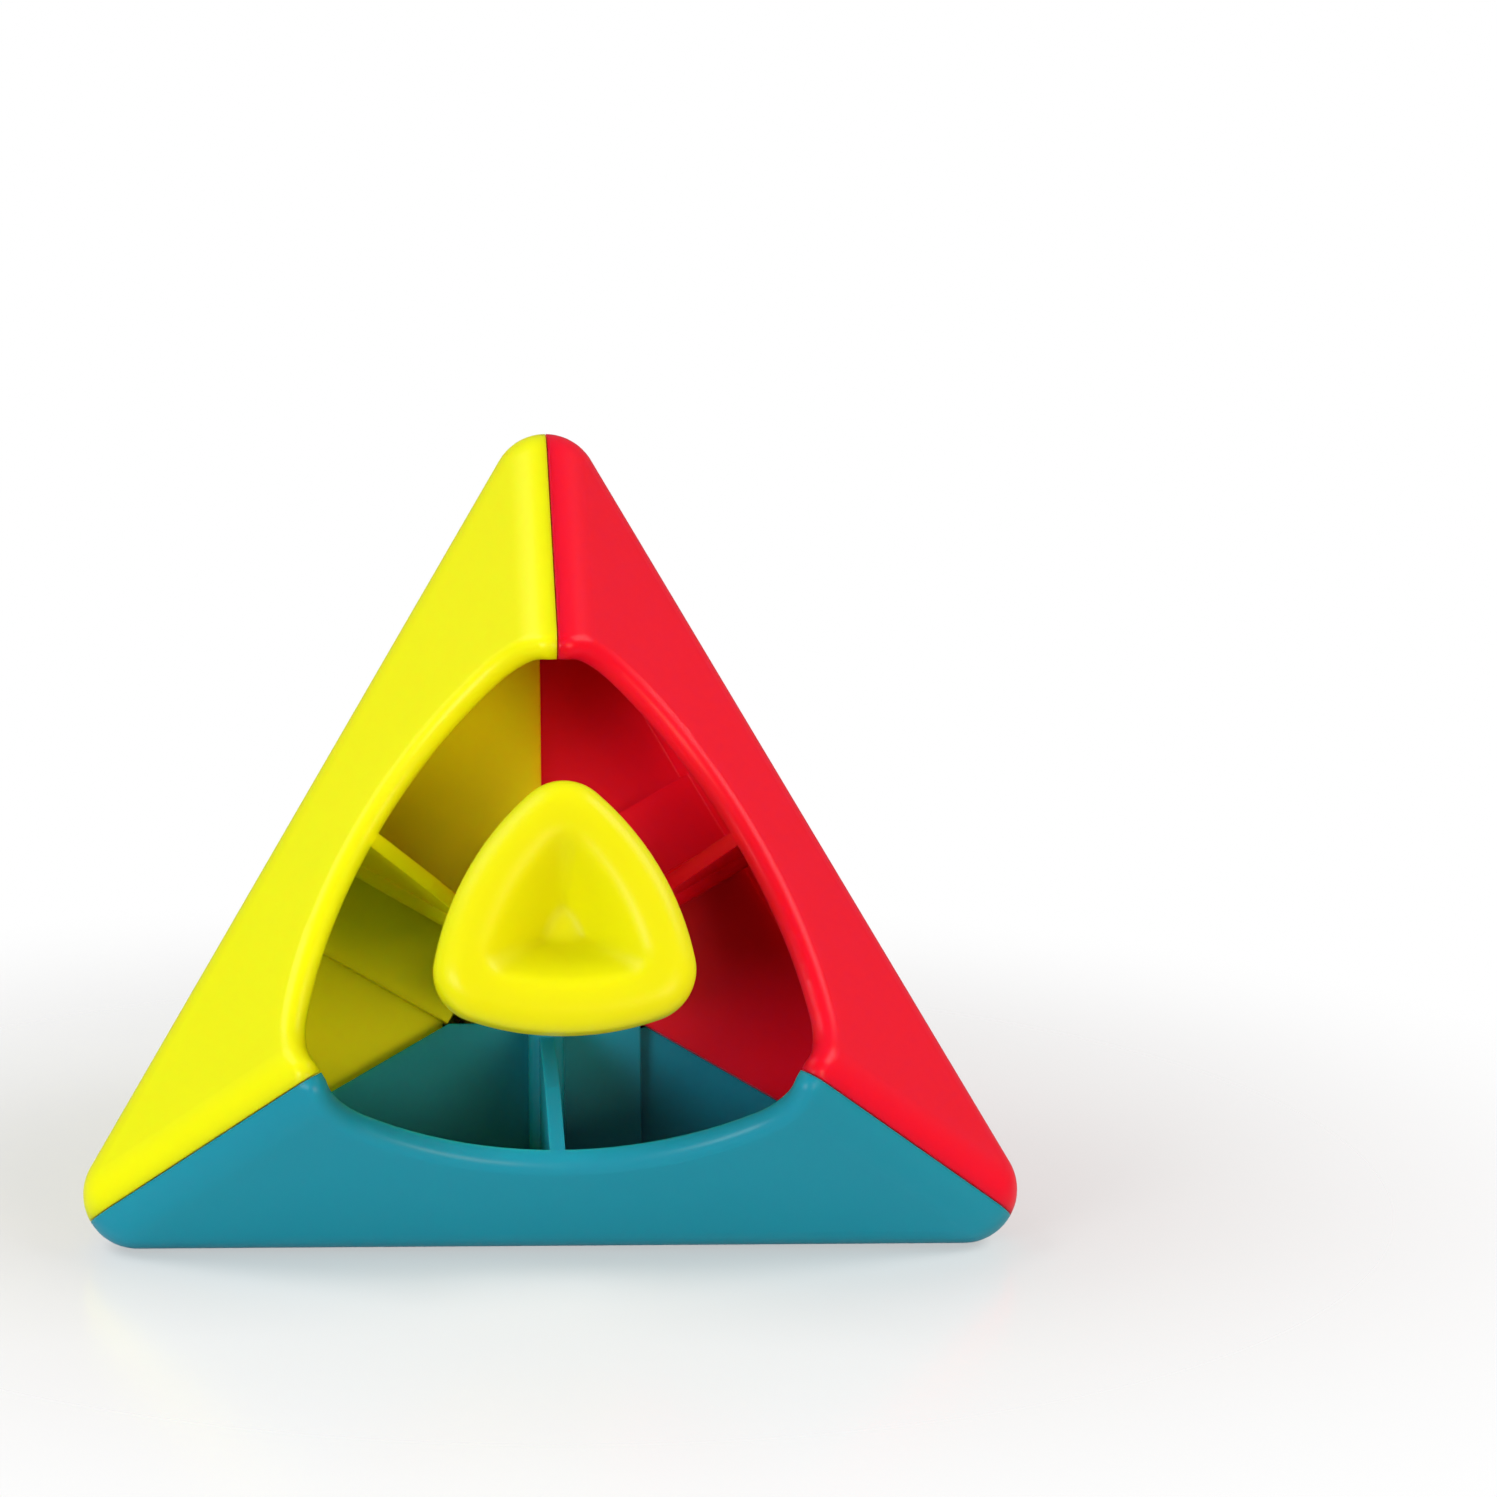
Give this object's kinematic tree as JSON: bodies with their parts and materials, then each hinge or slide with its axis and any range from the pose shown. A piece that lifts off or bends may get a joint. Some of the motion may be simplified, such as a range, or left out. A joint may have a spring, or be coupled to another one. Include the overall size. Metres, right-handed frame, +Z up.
{
  "type": "interlocking pyramid puzzle",
  "caption": "Take-apart pyramid puzzle: identical interlocking plastic shells close round a finned core whose dished, rounded-triangular knob shows in the open front.",
  "frame": {"origin": "centre of the footprint of the whole object's box, on the plane it rests on (the blue shell's outer face)", "axes": "-Y towards the open front with the knob, +X to its right as seen from the front, +Z up"},
  "size_m": [0.0812, 0.0862, 0.0681],
  "materials": {
    "blue_plastic": "glossy injection-moulded plastic, slightly translucent",
    "red_plastic": "glossy injection-moulded plastic, slightly translucent",
    "yellow_plastic": "glossy injection-moulded plastic, slightly translucent",
    "core_plastic": "glossy injection-moulded plastic with soft moulded edges"
  },
  "bodies": {
    "core": {"finned_core": "core_plastic"},
    "blue": {"blue_shell": "blue_plastic"},
    "red": {"red_shell": "red_plastic"},
    "yellow": {"yellow_shell": "yellow_plastic"}
  },
  "joints": [
    {"name": "blue_slide", "type": "slide", "parent": "core", "child": "blue", "axis": [0, -0.3333, -0.9428], "range_m": [0, 0.035]},
    {"name": "red_slide", "type": "slide", "parent": "core", "child": "red", "axis": [0.866, 0.1667, 0.4714], "range_m": [0, 0.035]},
    {"name": "yellow_slide", "type": "slide", "parent": "core", "child": "yellow", "axis": [-0.866, 0.1667, 0.4714], "range_m": [0, 0.035]}
  ]
}
